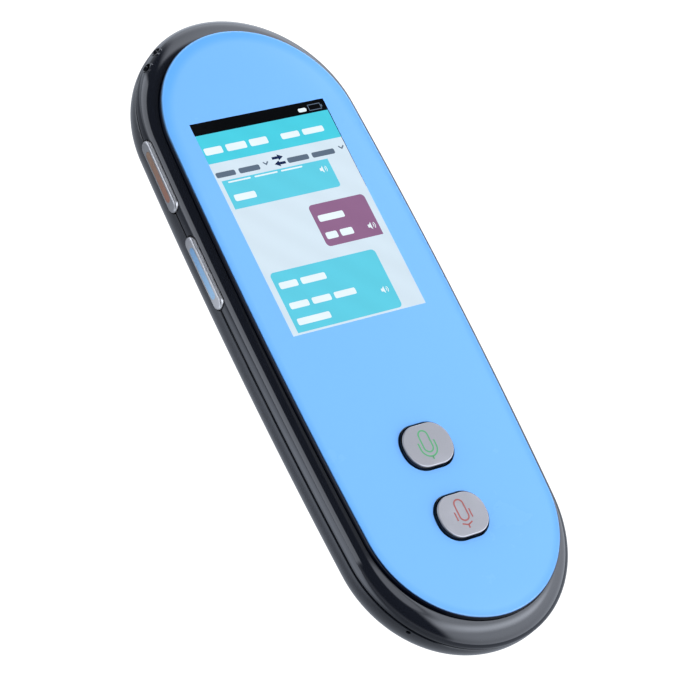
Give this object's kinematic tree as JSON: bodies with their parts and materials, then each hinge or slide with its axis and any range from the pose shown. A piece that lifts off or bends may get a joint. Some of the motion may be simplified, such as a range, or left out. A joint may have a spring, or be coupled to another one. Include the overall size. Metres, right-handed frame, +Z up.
{
  "type": "handheld translator",
  "caption": "Pill-shaped handheld voice translator with a blue front panel, a colour screen, talk keys on the front and side keys on the left edge.",
  "frame": {"origin": "middle of the flat back face that the device lies on", "axes": "+Z up through the screen, +Y along the body towards the screen end, +X to the right as seen from the front, so the side keys are on the -X edge"},
  "size_m": [0.0545, 0.146, 0.0149],
  "materials": {
    "panel_blue": "clear panel, painted light blue behind, polished rounded edge",
    "foam_black": "matt foam tape",
    "shell_black": "glossy charcoal lacquer",
    "back_black": "glossy black",
    "display_black": "dark polished cover glass",
    "sheet_steel": "stamped sheet steel",
    "flex_amber": "polyimide flex",
    "key_black": "glossy black",
    "key_silver": "fine bead-blasted satin",
    "side_key_silver": "satin",
    "inlay_copper": "satin copper paint",
    "inlay_blue": "satin light blue paint",
    "switch_cream": "moulded nylon",
    "board_green": "solder mask",
    "chip_black": "moulded epoxy",
    "screw_steel": "plated",
    "socket_steel": "drawn shell",
    "mic_metal": "drawn can",
    "rubber_black": "moulded silicone",
    "battery_foil": "pouch foil",
    "speaker_black": "moulded box",
    "mesh_steel": "woven dark mesh"
  },
  "bodies": {
    "housing": {"front_panel": "panel_blue", "panel_adhesive": "foam_black", "front_housing": "shell_black", "rear_housing": "shell_black", "back_adhesive": "foam_black", "back_plate": "back_black", "display_module": "display_black", "display_backplate": "sheet_steel", "display_flex": "flex_amber", "talk_switches": "switch_cream", "side_switches": "switch_cream", "side_key_flex": "flex_amber", "main_board": "board_green", "chips": "chip_black", "shield_cans": "sheet_steel", "board_connectors": "switch_cream", "board_screws": "screw_steel", "usb_socket": "socket_steel", "microphone": "mic_metal", "microphone_boot": "rubber_black", "wifi_antenna": "flex_amber", "battery": "battery_foil", "battery_pad": "foam_black", "battery_flex": "flex_amber", "speaker": "speaker_black", "speaker_gasket": "foam_black", "speaker_mesh": "mesh_steel", "housing_screws": "screw_steel"},
    "upper_talk_key": {"talk_button_upper": "key_black", "talk_face_upper": "key_silver"},
    "lower_talk_key": {"talk_button_lower": "key_black", "talk_face_lower": "key_silver"},
    "upper_side_key": {"side_key_upper": "side_key_silver", "side_inlay_upper": "inlay_copper"},
    "lower_side_key": {"side_key_lower": "side_key_silver", "side_inlay_lower": "inlay_blue"}
  },
  "joints": [
    {"name": "upper_talk_press", "type": "slide", "parent": "housing", "child": "upper_talk_key", "axis": [0, 0, -1], "range_m": [0, 0.0004], "stiffness_N_per_m": 1500},
    {"name": "lower_talk_press", "type": "slide", "parent": "housing", "child": "lower_talk_key", "axis": [0, 0, -1], "range_m": [0, 0.0004], "stiffness_N_per_m": 1500},
    {"name": "upper_side_press", "type": "slide", "parent": "housing", "child": "upper_side_key", "axis": [0.9993, -0.0361, 0], "range_m": [0, 0.0004], "stiffness_N_per_m": 1500},
    {"name": "lower_side_press", "type": "slide", "parent": "housing", "child": "lower_side_key", "axis": [0.9999, -0.0161, 0], "range_m": [0, 0.0004], "stiffness_N_per_m": 1500}
  ]
}
